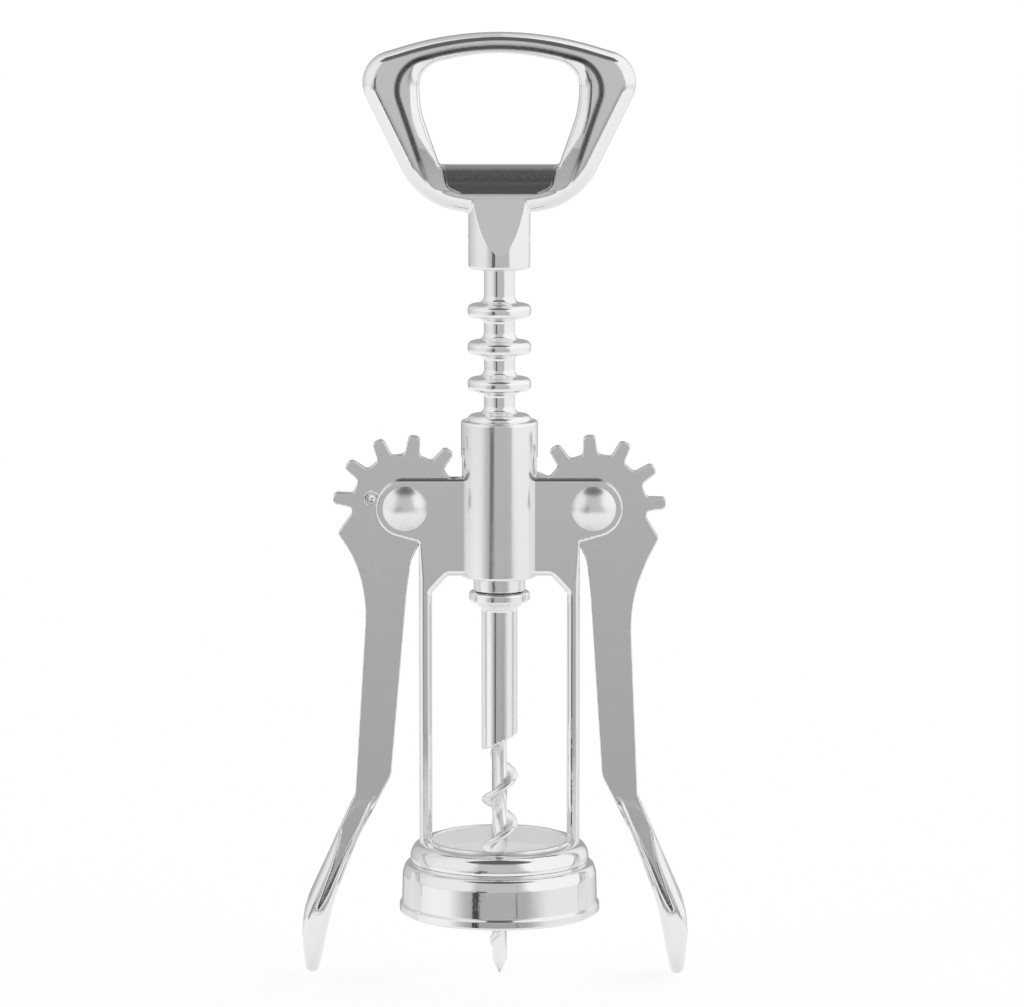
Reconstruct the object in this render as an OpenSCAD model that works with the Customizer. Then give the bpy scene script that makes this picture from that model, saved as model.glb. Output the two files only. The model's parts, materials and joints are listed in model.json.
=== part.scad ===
// Lever corkscrew: a ringed rack that two geared wing levers raise and lower,
// with a worm and a bottle-opener handle that turn inside it.
// Millimetres. +Z runs up along the worm. The origin is the centre of the seat
// inside the bell, where the mouth of the bottle touches.

/* [Bell] */
// Radius of the hole that the cork rises through
cork_hole_r = 12.8; // [12.2:0.1:13.2]
// Inner radius of the skirt that drops over the bottle's neck
skirt_in_r = 15.8; // [15.4:0.1:16.2]
// Outer radius of the skirt
skirt_r = 18.9; // [18.6:0.1:19.6]
// Depth of the skirt below the seat
skirt_depth = 10.5; // [10:0.5:14]

/* [Barrel] */
// Outer radius of the barrel
barrel_r = 7.3; // [7.1:0.1:7.6]
// Inner radius of the barrel
barrel_bore_r = 6.4; // [6.3:0.05:6.5]
// Height of the barrel's lower end
barrel_z0 = 54.3; // [54:0.1:54.6]
// Height of the barrel's upper end
barrel_z1 = 84.2; // [83:0.1:86]

/* [Uprights] */
// Overall thickness of the ears and legs, front to back
upright_t = 5.4; // [5.2:0.1:7]
// Distance from the worm's axis to a leg's inner face
leg_in_x = 12.9; // [12.8:0.1:13.2]
// Distance from the worm's axis to a leg's outer face
leg_out_x = 15.3; // [15:0.1:15.6]
// Radius of an ear's round end
ear_r = 5.5; // [5.2:0.1:6]

/* [Levers] */
// Distance from the worm's axis to a lever's pivot
pivot_x = 17.9; // [17.8:0.05:18]
// Height of the pivots
pivot_z = 67.6; // [67.4:0.1:67.8]
// Thickness of a lever's plate
lever_t = 2.2; // [2:0.1:2.4]
// Width of a lever's finger pad, front to back
pad_w = 12.4; // [10:0.2:14]
// Angle by which the left lever rests further out than its mirror image
left_rest = 0.6; // [0:0.1:0.8]
// Angle by which the right lever rests further in than its mirror image
right_rest = 0.6; // [0:0.1:0.8]
// Distance from the pivot out to the left lever's edge, just under its shoulder
left_waist = 9.3; // [9:0.1:10.5]
// Distance from the pivot out to the right lever's edge, just under its shoulder
right_waist = 10.3; // [9:0.1:10.5]

/* [Gears] */
// Radius over the tips of the teeth
gear_tip_r = 13.8; // [13.5:0.1:13.9]
// Radius at the roots of the teeth
gear_root_r = 10.2; // [9.8:0.1:10.4]
// Width of a tooth near its tip
tooth_tip_w = 2; // [1.8:0.1:2.1]
// Width of a tooth at its root
tooth_root_w = 2.6; // [2.3:0.1:2.8]
// Angle of the left gear's third tooth, from the direction of the rack
left_phase = 83; // [82.5:0.5:84]
// Angle of the right gear's third tooth, from the direction of the rack
right_phase = 86; // [85.5:0.5:87]

/* [Rack] */
// Height of the top ring's middle
top_ring_z = 105.1; // [105:0.05:105.2]
// Radius of the rings
ring_r = 6; // [5.8:0.05:6.05]
// Thickness of a ring at its rim
ring_t = 1.9; // [1.7:0.1:2]
// Radius of the rack's shaft
rack_r = 2.9; // [2.8:0.05:3]

/* [Screw] */
// Radius of the rod that runs up inside the rack
rod_r = 2; // [1.9:0.05:2.05]
// Radius of the shank under the rack
shank_r = 3.4; // [3.2:0.05:3.5]
// Radius of the worm's core
core_r = 1.45; // [1.3:0.05:1.6]
// Radius over the worm's edge
worm_r = 3.5; // [3.3:0.05:3.7]
// Rise of the worm in one turn
worm_pitch = 9.25; // [8.5:0.25:9.5]
// Height of the worm's point
worm_tip_z = -22.9; // [-24:0.1:-22]

/* [Handle] */
// Radius of the handle's socket
socket_r = 5.85; // [5.6:0.05:6]
// Height of the socket's lower end
socket_z = 113; // [112.9:0.1:113.1]
// Thickness of the handle's loop at the raised rim of its hole, front to back
loop_t = 7; // [6.6:0.2:8]
// Height of the raised rim above the rest of the loop's face
rim_step = 0.4; // [0.3:0.1:0.6]

/* [Hidden] */

$fn = 96;
eps = 0.01;
run_gap = 0.05;          // radial clearance of a turning fit
side_gap = 0.2;          // gap between a lever and the ear beside it
end_gap = 0.1;           // gap between parts that turn end to end
ear_t = (upright_t - lever_t) / 2 - side_gap;
rivet_r = 2.2;
rivet_head_r = 4.25;
rivet_head_h = 1.7;

teeth_per_turn = 12;     // teeth that a full turn of the gear would hold
tooth_step = 360 / teeth_per_turn;
gear_clear_r = gear_tip_r + 0.5;
ring_pitch = 7;          // matches the gear's teeth at a pitch radius of 13.4
ring_count = 7;

collar_z0 = 49.2;
collar_z1 = 51.5;
collar_r = 5.75;
rack_z0 = collar_z1 + end_gap;
rack_z1 = socket_z - end_gap;
rod_top_z = socket_z + 8.5;
pin_z = socket_z + 5.5;
pin_r = 0.9;
stem_z = 38;             // top of the worm's stem, inside the shank
stem_gap = 0.03;         // gap round the stem

chrome = [0.80, 0.81, 0.82];
bright = [0.88, 0.89, 0.90];
steel = [0.70, 0.71, 0.72];

// ---- outlines with rounded corners: each corner is [x, y, radius] ----

function unit(v) = v / norm(v);

function corner_arc(before, corner, after, steps) =
    let (p = [corner[0], corner[1]],
         a = unit([before[0], before[1]] - p),
         b = unit([after[0], after[1]] - p),
         half = acos(a * b) / 2,
         c = p + unit(a + b) * corner[2] / sin(half),
         s = p + a * corner[2] / tan(half) - c,
         e = p + b * corner[2] / tan(half) - c,
         a0 = atan2(s[1], s[0]),
         sweep = (atan2(e[1], e[0]) - a0 + 540) % 360 - 180)
    corner[2] < eps ? [p]
                    : [for (i = [0:steps]) let (t = a0 + sweep * i / steps)
                           c + corner[2] * [cos(t), sin(t)]];

function rounded(corners, steps = 8) =
    let (n = len(corners))
    [for (i = [0:n - 1]) each corner_arc(corners[(i + n - 1) % n], corners[i],
                                         corners[(i + 1) % n], steps)];

// the right-hand half of a symmetrical outline, with its mirror image behind it
function both_sides(half) = concat(half, [for (i = [len(half) - 1:-1:0])
                                              if (half[i][0] > eps)
                                                  [-half[i][0], half[i][1], half[i][2]]]);

// a front view, X across and Z up, given a thickness front to back
module slab(t) { rotate([90, 0, 0]) linear_extrude(t, center = true) children(); }

// a shape drawn for the right-hand side, put on either side
module on_side(side) { mirror([side < 0 ? 1 : 0, 0, 0]) children(); }

// ---- bell ----

module bell_profile() {
    rim_z = -skirt_depth;
    polygon(rounded([
        [cork_hole_r, 3.5, 0.3],
        [cork_hole_r + 0.8, 3.5, 0.3],
        [cork_hole_r + 0.95, 3.1, 0.2],
        [cork_hole_r + 4.7, 2.8, 3.2],
        [cork_hole_r + 4.6, -0.5, 0.3],
        [cork_hole_r + 4.3, -0.85, 0.15],
        [skirt_r - 0.2, -1.05, 1.4],
        [skirt_r, rim_z + 2, 0.3],
        [skirt_r + 0.25, rim_z + 1.6, 0.2],
        [skirt_r + 0.25, rim_z, 0.5],
        [skirt_in_r, rim_z, 0.3],
        [skirt_in_r, 0, 0],
        [cork_hole_r, 0, 0]
    ]));
}

module bell() { color(chrome) rotate_extrude() bell_profile(); }

// ---- barrel ----

module barrel() {
    wall = barrel_r - barrel_bore_r;
    slot_half = sqrt(pow(gear_clear_r, 2) - pow(pivot_x - barrel_r, 2));
    color(bright) difference() {
        rotate_extrude() polygon(rounded([
            [barrel_bore_r, barrel_z0, 0.2],
            [barrel_r, barrel_z0, 0.3],
            [barrel_r, barrel_z1, wall * 0.9],
            [barrel_bore_r, barrel_z1, 0]
        ]));
        // one slot on each side lets the gear teeth reach the rack
        translate([-2 * barrel_r, -lever_t / 2 - 2 * side_gap, pivot_z - slot_half])
            cube([4 * barrel_r, lever_t + 4 * side_gap, 2 * slot_half]);
    }
}

// ---- uprights: two ear plates over a leg ----

module upright_outline() {
    under_z = barrel_z0 + 0.3;
    ear_x = pivot_x + ear_r;
    shoulder_z = pivot_z - 6.5;                  // where an ear's lower edge meets the leg
    corner_z = shoulder_z + (ear_x - leg_out_x) * tan(16);
    polygon(rounded([
        [0, pivot_z + ear_r, 0],
        [ear_x, pivot_z + ear_r, ear_r * 0.98],
        [ear_x, corner_z, ear_r * 0.98],
        [leg_out_x, shoulder_z, 0.2],
        [leg_out_x, 0.5, 0],
        [leg_in_x, 0.5, 0],
        [leg_in_x, under_z - 3.4, 1],
        [leg_in_x - 3.1, under_z, 1],
        [0, under_z, 0]
    ]));
}

// an upright seen from the side: the leg tapers towards the bell
module upright_side_view() {
    half = upright_t / 2;
    polygon(rounded(both_sides([[0, pivot_z + 2 * ear_r, 0], [half, pivot_z + 2 * ear_r, 0],
                                [half, 23, 300], [half - 0.85, 0, 0], [0, 0, 0]])));
}

module upright(side) {
    color(chrome) on_side(side) difference() {
        intersection() {
            slab(upright_t) upright_outline();
            rotate([90, 0, 90]) linear_extrude(2 * pivot_x) upright_side_view();
        }
        // the lever and its gear turn between the ears
        translate([pivot_x, 0, pivot_z]) rotate([90, 0, 0])
            cylinder(r = gear_clear_r, h = upright_t - 2 * ear_t, center = true);
        // the barrel and the bell meet the upright face to face
        cylinder(r = barrel_r, h = barrel_z1 + 1);
        rotate_extrude() bell_profile();
        translate([pivot_x, 0, pivot_z]) rotate([90, 0, 0])
            cylinder(r = rivet_r, h = upright_t + 1, center = true);
    }
}

module left_upright() { upright(-1); }
module right_upright() { upright(1); }

// ---- rivets ----

module rivet(side) {
    dome_r = (rivet_head_r * rivet_head_r + rivet_head_h * rivet_head_h) / (2 * rivet_head_h);
    half_t = upright_t / 2;
    head_angle = asin(rivet_head_r / dome_r);
    head = [for (i = [0:8]) let (t = head_angle * (1 - i / 8))
                [dome_r * sin(t), half_t + rivet_head_h - dome_r * (1 - cos(t))]];
    color(bright) translate([side * pivot_x, 0, pivot_z]) rotate([90, 0, 0]) rotate_extrude()
        polygon(concat([[0, -half_t - rivet_head_h]],
                       [for (i = [7:-1:0]) [head[i][0], -head[i][1]]],
                       [[rivet_r, -half_t], [rivet_r, half_t]], head));
}

module left_rivet() { rivet(-1); }
module right_rivet() { rivet(1); }

// ---- levers, drawn about their pivot as the right-hand one ----

module tooth() {
    tip_c = gear_tip_r - tooth_tip_w / 2;
    polygon([[0, -tooth_root_w / 2], [gear_root_r, -tooth_root_w / 2], [tip_c, -tooth_tip_w / 2],
             [tip_c, tooth_tip_w / 2], [gear_root_r, tooth_root_w / 2], [0, tooth_root_w / 2]]);
    translate([tip_c, 0]) circle(tooth_tip_w / 2);
}

// the rack lies towards -X, so tooth angles are counted clockwise from there
module gear(phase) {
    circle(gear_root_r);
    for (k = [-3:4]) rotate(180 - phase - k * tooth_step) tooth();
}

// the shoulder, at the top of the outer edge, takes the place of the gear's last tooth
function arm_corners(phase, waist) =
    let (shoulder_r = gear_tip_r, shoulder_a = 61 - phase)
    [
        [-6.5, -7.2, 0], [-2.9, -6.6, 0], [-1.1, -10.4, 8], [-0.3, -17.5, 20], [2.3, -52, 4],
        [8.3, -63.4, 25], [13.2, -76, 40], [16.1, -90.2, 1.1], [18.3, -89.8, 1.2],
        [19.2, -78.8, 16], [9.1, -55.4, 3], [7.2, -18.5, 28], [waist, -10.2, 22],
        [shoulder_r * cos(shoulder_a), shoulder_r * sin(shoulder_a), 0.6], [9, -3, 0], [0, 0, 0]
    ];

module lever(side, phase, rest, waist) {
    web_half = lever_t / 2;
    arm = rounded(arm_corners(phase, waist));
    color(chrome) translate([side * pivot_x, 0, pivot_z]) on_side(side) rotate([0, rest, 0])
        difference() {
            union() {
                slab(lever_t) { gear(phase); polygon(arm); }
                intersection() {
                    slab(pad_w) polygon(arm);
                    rotate([90, 0, 90]) linear_extrude(2 * pivot_x) pad_side_view();
                }
            }
            // hollows in the front and back of the pad leave the web between two edges
            for (face = [-1, 1]) translate([0, face * (web_half + pad_w / 2), 0])
                slab(pad_w) polygon(rounded([[7.6, -60.4, 0.4], [10.3, -59.4, 0.4],
                                             [12.4, -67.6, 20], [16.2, -78.8, 0.2],
                                             [10.6, -67.8, 20]]));
            rotate([90, 0, 0]) cylinder(r = rivet_r + run_gap, h = lever_t + 1, center = true);
        }
}

// the pad seen from the side: it widens from the plate's thickness and ends in a blunt tip
module pad_side_view() {
    top = -57;
    polygon(rounded(both_sides([[0, top, 0], [lever_t / 2, top, 0],
                                [pad_w / 2, top - 17, 12], [pad_w / 2, top - 29, 5],
                                [pad_w * 0.16, top - 34.4, 2], [0, top - 34.4, 0]])));
}

module left_lever() {
    dimple_r = 1.3;          // a round dimple beside the ear
    difference() {
        lever(-1, left_phase, -left_rest, left_waist);
        translate([-pivot_x - 6.4, -lever_t / 2, pivot_z + 1.7]) color(chrome) sphere(dimple_r);
    }
}

module right_lever() { lever(1, right_phase, right_rest, right_waist); }

// ---- rack: rings on a hollow shaft, so that it can rise whichever way the worm turns ----

// a ring at height z: a rim between two slopes that run into the shaft
function ring_corners(z) =
    let (rim = ring_t / 2, slope = rim + 0.4, foot = rim + 1.2, slope_r = ring_r * 0.82)
    [[rack_r, z - foot, 0.9], [slope_r, z - slope, 0.3], [ring_r, z - rim, 0.4],
     [ring_r, z + rim, 0.4], [slope_r, z + slope, 0.3], [rack_r, z + foot, 0.9]];

module rack_spindle() {
    neck_r = 4.9;
    neck_z = rack_z0 + 4;
    low_ring_z = top_ring_z - (ring_count - 1) * ring_pitch;
    color(chrome) rotate_extrude() polygon(rounded(concat(
        [[rod_r + run_gap, rack_z0, 0], [neck_r, rack_z0, 0.2], [neck_r, neck_z, 0.3],
         [rack_r, neck_z + 1, 0.5]],
        [for (i = [0:ring_count - 1]) each ring_corners(low_ring_z + i * ring_pitch)],
        [[rack_r, rack_z1, 0.2], [rod_r + run_gap, rack_z1, 0]]), 5));
}

// ---- screw: a rod that runs up through the rack, and the worm pressed into its shank ----

module spindle_rod() {
    end_z = 22.4;            // middle of the shank's slanting end
    end_tilt = 25;
    flare_r = shank_r + 0.9;
    cut = 5 * shank_r;
    color(steel) difference() {
        rotate_extrude() polygon(rounded([
            [0, end_z - 2, 0], [shank_r, end_z - 2, 0], [shank_r, collar_z0 - 1.2, 0.5],
            [flare_r, collar_z0, 0], [rod_r, collar_z0, 0], [rod_r, rod_top_z, 0.4],
            [0, rod_top_z, 0]]));
        translate([0, 0, end_z]) rotate([0, -end_tilt, 0]) translate([-cut / 2, -cut / 2, -cut])
            cube(cut);
        cylinder(r = core_r + stem_gap, h = stem_z + stem_gap);
        translate([0, 0, pin_z]) rotate([0, 90, 0]) cylinder(r = pin_r, h = 3 * rod_r, center = true);
    }
}

// The worm's skin is a grid: i steps down the right-hand helix, and j goes across its edge,
// from the lower root to the upper root. The turns below and above close the core between.
worm_steps = 18;         // steps in a turn
worm_z1 = 20.3;          // height at which the edge starts
worm_turns = 4.25;
worm_last = round(worm_turns * worm_steps);
edge_offsets = [-0.9, -0.35, 0.35, 0.9];   // the edge's section, across its rise

function helix_z(i) = worm_z1 - worm_pitch * i / worm_steps;
function core_at(z) = core_r - 0.3 * max(0, min(1, (-8 - z) / 10));
// the edge rises from the core in the first steps and sinks back into it in the last ones
function edge_at(i) = min(1, i / 5, (worm_last - i) / 20);
function skin_r(i, j, z) =
    core_at(z) + (j == 1 || j == 2 ? (worm_r - core_at(z)) * edge_at(i) : 0);

function skin_point(i, j) =
    let (t = 180 - 360 * i / worm_steps, z = helix_z(i) + edge_offsets[j], r = skin_r(i, j, z))
    [r * cos(t), r * sin(t), z];

module worm() {
    n = worm_steps;
    last = worm_last;
    tops = 4 * (last + 1);             // first point of the ring at the stem's top
    tip = tops + n;
    points = concat([for (i = [0:last], j = [0:3]) skin_point(i, j)],
                    [for (i = [0:n - 1]) let (t = 180 - 360 * i / n)
                        [core_r * cos(t), core_r * sin(t), stem_z]],
                    [[0, 0, worm_tip_z]]);
    edge = [for (i = [0:last - 1], j = [0:2]) let (a = 4 * i + j)
                each [[a, a + 4, a + 5], [a, a + 5, a + 1]]];
    core = [for (i = [0:last - n - 1]) let (a = 4 * i, b = 4 * (i + n) + 3)
                each [[a, b, b + 4], [a, b + 4, a + 4]]];
    stem = [for (i = [0:n - 2]) let (a = 4 * i + 3, c = tops + i)
                each [[a, a + 4, c + 1], [a, c + 1, c]]];
    // the stem's last strip meets the start of the edge, point by point
    seam = 4 * (n - 1) + 3;
    seam_line = [4 * n + 3, 0, 1, 2, 3, tops];
    stem_seam = concat([for (k = [0:4]) [seam, seam_line[k], seam_line[k + 1]]],
                       [[seam, tops, tops + n - 1]]);
    cap = [for (i = [1:n - 2]) [tops, tops + i, tops + i + 1]];
    point = [for (i = [last - n:last - 1]) [4 * i, tip, 4 * i + 4]];
    point_line = [4 * (last - n), 4 * last + 3, 4 * last + 2, 4 * last + 1, 4 * last];
    point_seam = [for (k = [0:3]) [tip, point_line[k], point_line[k + 1]]];
    color(steel) polyhedron(points, concat(edge, core, stem, stem_seam, cap, point, point_seam));
}

module thrust_collar() {
    color(chrome) rotate_extrude() polygon(rounded([
        [rod_r, collar_z0, 0], [collar_r - 0.9, collar_z0, 0.3], [collar_r, collar_z0 + 0.5, 0.4],
        [collar_r, collar_z1, 0.4], [rod_r, collar_z1, 0]]));
}

// ---- handle ----

hole_z0 = 132.6;         // the straight lower edge of the hole, which lifts bottle caps
loop_corners = [[0, 160.4, 62], [28.2, 151.9, 6], [15.15, 125.3, 14], [0, 122.6, 0]];
hole_corners = [[0, 154.5, 38], [15.2, 151.3, 5], [14.9, 143, 20], [11.3, hole_z0, 0.6],
                [0, hole_z0, 0]];
rim_corners = [[0, 156.8, 50], [20.8, 150.9, 6], [12.9, 127.8, 0.6], [0, 127.8, 0]];

module half_outline(corners) { polygon(rounded(both_sides(corners), 12)); }

module handle() {
    face_y = loop_t / 2 - rim_step;
    socket_top = socket_z + 13;              // inside the loop
    tongue_z = socket_z + 3.5;               // lower end of the tongue, on the socket's round
    tongue_tilt = atan((socket_r - face_y) / 9.2);
    scoop_r = 9.1;
    scoop_y = -face_y - 6.8;                 // the scoop's axis, in front of the hole
    scoop_z = hole_z0 + 0.8;
    color(chrome) difference() {
        union() {
            slab(2 * face_y) half_outline(loop_corners);
            slab(loop_t) half_outline(rim_corners);
            rotate_extrude() polygon(rounded([[0, socket_z, 0], [socket_r, socket_z, 0.6],
                                              [socket_r, socket_top, 0],
                                              [0, socket_top, 0]]));
        }
        slab(loop_t + 1) half_outline(hole_corners);
        // flat tongues run from the loop's faces out to the round of the socket
        for (face = [-1, 1]) translate([0, face * socket_r, tongue_z])
            rotate([face * tongue_tilt, 0, 0])
                translate([-socket_r, face > 0 ? 0 : -socket_r, 0])
                    cube([2 * socket_r, socket_r, socket_top - tongue_z + 1]);
        // scoop that thins the opener's lip, on the front
        intersection() {
            translate([0, scoop_y, scoop_z]) rotate([0, 90, 0])
                cylinder(r = scoop_r, h = 30, center = true);
            slab(2 * loop_t) polygon(rounded([[-10.9, scoop_z, 0.1], [-9.9, hole_z0 - 4.2, 1.5],
                                              [-6.4, hole_z0 - 5.8, 1.5], [6.4, hole_z0 - 5.8, 1.5],
                                              [9.9, hole_z0 - 4.2, 1.5], [10.9, scoop_z, 0.1]]));
        }
        translate([0, 0, socket_z - 1]) cylinder(r = rod_r, h = rod_top_z - socket_z + 1);
        translate([0, 0, pin_z]) rotate([0, 90, 0]) cylinder(r = pin_r, h = 3 * socket_r, center = true);
    }
}

module handle_pin() {
    color(steel) intersection() {
        translate([0, 0, pin_z]) rotate([0, 90, 0]) cylinder(r = pin_r, h = 3 * socket_r, center = true);
        cylinder(r = socket_r - run_gap, h = 2 * pin_z);
    }
}

bell();
barrel();
left_upright();
right_upright();
left_rivet();
right_rivet();
rack_spindle();
spindle_rod();
worm();
thrust_collar();
handle();
handle_pin();
left_lever();
right_lever();
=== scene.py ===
"""Looks of a lever corkscrew: chrome castings, turned chrome parts and a plated worm.

The pieces are drawn in millimetres, in the CAD model's frame: +Z runs up the worm, the front
faces -Y, and the origin is the seat inside the bell.
"""
import json
import math

import bmesh
import bpy
import numpy as np
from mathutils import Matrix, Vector


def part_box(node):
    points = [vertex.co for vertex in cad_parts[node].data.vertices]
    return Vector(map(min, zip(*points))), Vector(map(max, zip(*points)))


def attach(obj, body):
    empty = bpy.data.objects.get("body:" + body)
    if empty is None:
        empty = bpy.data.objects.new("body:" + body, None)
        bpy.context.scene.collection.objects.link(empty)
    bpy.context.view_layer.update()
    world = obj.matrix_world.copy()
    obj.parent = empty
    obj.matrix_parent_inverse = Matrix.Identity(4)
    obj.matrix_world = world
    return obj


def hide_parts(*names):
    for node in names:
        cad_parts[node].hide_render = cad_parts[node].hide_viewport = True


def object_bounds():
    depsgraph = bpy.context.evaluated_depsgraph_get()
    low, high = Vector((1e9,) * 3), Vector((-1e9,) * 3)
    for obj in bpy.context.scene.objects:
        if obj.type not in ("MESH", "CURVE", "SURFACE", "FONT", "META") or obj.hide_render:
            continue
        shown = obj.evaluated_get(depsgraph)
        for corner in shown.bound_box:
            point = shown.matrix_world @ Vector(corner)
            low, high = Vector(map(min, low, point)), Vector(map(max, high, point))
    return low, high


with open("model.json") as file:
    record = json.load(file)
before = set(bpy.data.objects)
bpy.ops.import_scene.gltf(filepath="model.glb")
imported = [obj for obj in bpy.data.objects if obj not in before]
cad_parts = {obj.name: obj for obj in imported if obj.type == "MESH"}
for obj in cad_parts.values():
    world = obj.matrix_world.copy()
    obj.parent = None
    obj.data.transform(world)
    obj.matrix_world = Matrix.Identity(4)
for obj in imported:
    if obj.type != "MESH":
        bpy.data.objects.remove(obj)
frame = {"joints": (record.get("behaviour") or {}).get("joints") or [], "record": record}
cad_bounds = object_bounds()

MM = 0.001
scene = bpy.context.scene
record = frame["record"]
body_of = {node: body for body, nodes in record["behaviour"]["bodies"].items() for node in nodes}
joint_at = {joint["name"]: joint.get("pos_m") for joint in frame["joints"]}


def box_mm(node):
    """A CAD node's lowest and highest corners, in millimetres."""
    low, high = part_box(node)
    return np.array(low) / MM, np.array(high) / MM


# ---- driving dimensions, from the frame ----

BELL_LOW, BELL_HIGH = box_mm("bell")
BARREL_LOW, BARREL_HIGH = box_mm("barrel")
UPRIGHT_HIGH = box_mm("right_upright")[1]
RIVET_HIGH = box_mm("right_rivet")[1]
RACK_LOW, RACK_HIGH = box_mm("rack_spindle")
ROD_LOW, ROD_HIGH = box_mm("spindle_rod")
WORM_LOW, WORM_HIGH = box_mm("worm")
COLLAR_LOW, COLLAR_HIGH = box_mm("thrust_collar")
HANDLE_LOW, HANDLE_HIGH = box_mm("handle")
PIN_LOW, PIN_HIGH = box_mm("handle_pin")
LEVER_HIGH = box_mm("right_lever")[1]

PIVOT_X = joint_at["right_lever_swing"][0] / MM
PIVOT_Z = joint_at["right_lever_swing"][2] / MM
UPRIGHT_HALF = UPRIGHT_HIGH[1]               # half the thickness of the ears and legs
PAD_HALF = LEVER_HIGH[1]                     # half the width of a finger pad
LEVER_HALF = 1.1                             # half the thickness of a lever's plate
SIDE_GAP = 0.2                               # gap between a lever and the ear beside it
RIVET_R = 2.2                                # a rivet's shank
BARREL_R = BARREL_HIGH[0]
BARREL_WALL = 0.9
GEAR_TIP_R = 13.8
GEAR_ROOT_R = 10.2
GEAR_CLEAR_R = GEAR_TIP_R + 0.5
TEETH = 7                                    # on each lever
TEETH_PER_TURN = 12                          # at the same spacing, a whole gear would have these
RACK_R = 2.9                                 # the rack between its rings
SHANK_R = 3.4                                # the shank that holds the worm
ROD_R = 2.0                                  # the rod inside the rack
SOCKET_R = HANDLE_HIGH[1]
SOCKET_Z = HANDLE_LOW[2]


# ---- outlines with rounded corners: each corner is [across, up, radius] ----

def unit(vector):
    return vector / np.linalg.norm(vector)


def anticlockwise(corners):
    """The corners as an array that runs anticlockwise."""
    points = np.array(corners, float)
    x, z = points[:, 0], points[:, 1]
    area = np.sum(x * np.roll(z, -1) - np.roll(x, -1) * z)
    return points if area > 0 else points[::-1]


def corner_arcs(corners):
    """For each corner: its arc's centre, radius, two ends, outward direction, half angle and bend.

    bend is 1 where the outline is convex, and -1 where it is hollow."""
    points = anticlockwise(corners)
    arcs = []
    for before, here, after in zip(np.roll(points, 1, 0), points, np.roll(points, -1, 0)):
        to_before, to_after = unit(before[:2] - here[:2]), unit(after[:2] - here[:2])
        half = math.acos(np.clip(to_before @ to_after, -1, 1)) / 2
        inward = unit(to_before + to_after)
        reach = here[2] / math.tan(half)
        turn = to_after[1] * -to_before[0] + to_after[0] * to_before[1]
        arcs.append({
            "centre": here[:2] + inward * here[2] / math.sin(half), "radius": here[2],
            "start": here[:2] + to_before * reach, "end": here[:2] + to_after * reach,
            "outward": -inward, "half": half, "bend": 1 if turn > 0 else -1})
    return arcs


def outline(corners):
    """A function for the signed distance from points to a closed outline, negative inside."""
    arcs = corner_arcs(corners)

    def distance(x, z):
        nearest = np.full(np.broadcast(x, z).shape, np.inf)
        for arc, following in zip(arcs, arcs[1:] + arcs[:1]):
            dx, dz = x - arc["centre"][0], z - arc["centre"][1]
            length = np.hypot(dx, dz)
            in_sector = (dx * arc["outward"][0] + dz * arc["outward"][1]
                         >= length * math.sin(arc["half"]))
            to_arc = np.where(in_sector, (length - arc["radius"]) * arc["bend"], np.inf)
            nearest = np.where(np.abs(to_arc) < np.abs(nearest), to_arc, nearest)

            edge = following["start"] - arc["end"]
            dx, dz = x - arc["end"][0], z - arc["end"][1]
            along = np.clip((dx * edge[0] + dz * edge[1]) / (edge @ edge), 0, 1)
            side = np.where(edge[0] * dz - edge[1] * dx > 0, -1, 1)
            to_edge = np.hypot(dx - along * edge[0], dz - along * edge[1]) * side
            nearest = np.where(np.abs(to_edge) < np.abs(nearest), to_edge, nearest)
        return nearest

    return distance


def both_sides(half):
    """The right-hand half of a symmetrical outline, with its mirror image behind it."""
    return half + [[-x, z, radius] for x, z, radius in reversed(half) if x > 0]


# ---- solids as distance fields: negative inside, and edges rounded where two meet ----

def common(a, b, radius):
    """What two solids share, with a rounded edge."""
    rounded = np.hypot(np.maximum(a + radius, 0), np.maximum(b + radius, 0))
    return np.minimum(np.maximum(a, b), -radius) + rounded


def either(a, b, radius):
    """Two solids joined, with a fillet between them."""
    return -common(-a, -b, radius)


def cut(a, b, radius):
    """The first solid without the second, with a rounded edge."""
    return common(a, -b, radius)


def finish_mesh(name, points, faces, normals_at):
    """A smooth mesh, in metres, whose normals come from the exact surface.

    A face with more than four corners is a merged flat, and keeps its own normal."""
    mesh = bpy.data.meshes.new(name)
    mesh.from_pydata((points * MM).tolist(), [], faces)
    mesh.shade_smooth()
    smooth = normals_at(points)
    normals = []
    for face in mesh.polygons:
        flat = len(face.vertices) > 4
        normals += [face.normal if flat else smooth[i] for i in face.vertices]
    mesh.normals_split_custom_set(normals)
    return mesh


def set_values(mesh, name, values):
    """Gives each of a mesh's points a number that its material reads by name."""
    attribute = mesh.attributes.new(name, "FLOAT", "POINT")
    attribute.data.foreach_set("value", values.astype(np.float32))


def gradient(field, points):
    """The field's slope at points: it is the surface's outward direction."""
    step = 0.01
    slopes = []
    for axis in range(3):
        shift = np.zeros(3)
        shift[axis] = step
        slopes.append(field(*(points + shift).T) - field(*(points - shift).T))
    return np.stack(slopes, 1) / (2 * step)


def crossed_quads(inside, cell_number):
    """A quad for each grid edge that the surface crosses, through the four cells round it."""
    quads = []
    for a in range(3):
        b, c = (a + 1) % 3, (a + 2) % 3
        count = inside.shape[a]
        low_end = np.take(inside, range(count - 1), a)
        high_end = np.take(inside, range(1, count), a)
        for solid_below in (True, False):
            crossed = low_end & ~high_end if solid_below else ~low_end & high_end
            edges = np.argwhere(crossed)
            ring = []
            for back_b, back_c in ((1, 1), (0, 1), (0, 0), (1, 0)):
                cells = edges.copy()
                cells[:, b] -= back_b
                cells[:, c] -= back_c
                ring.append(cell_number[tuple(cells.T)])
            ring = np.stack(ring, 1)
            quads.append(ring if solid_below else ring[:, ::-1])
    return np.concatenate(quads)


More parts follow.
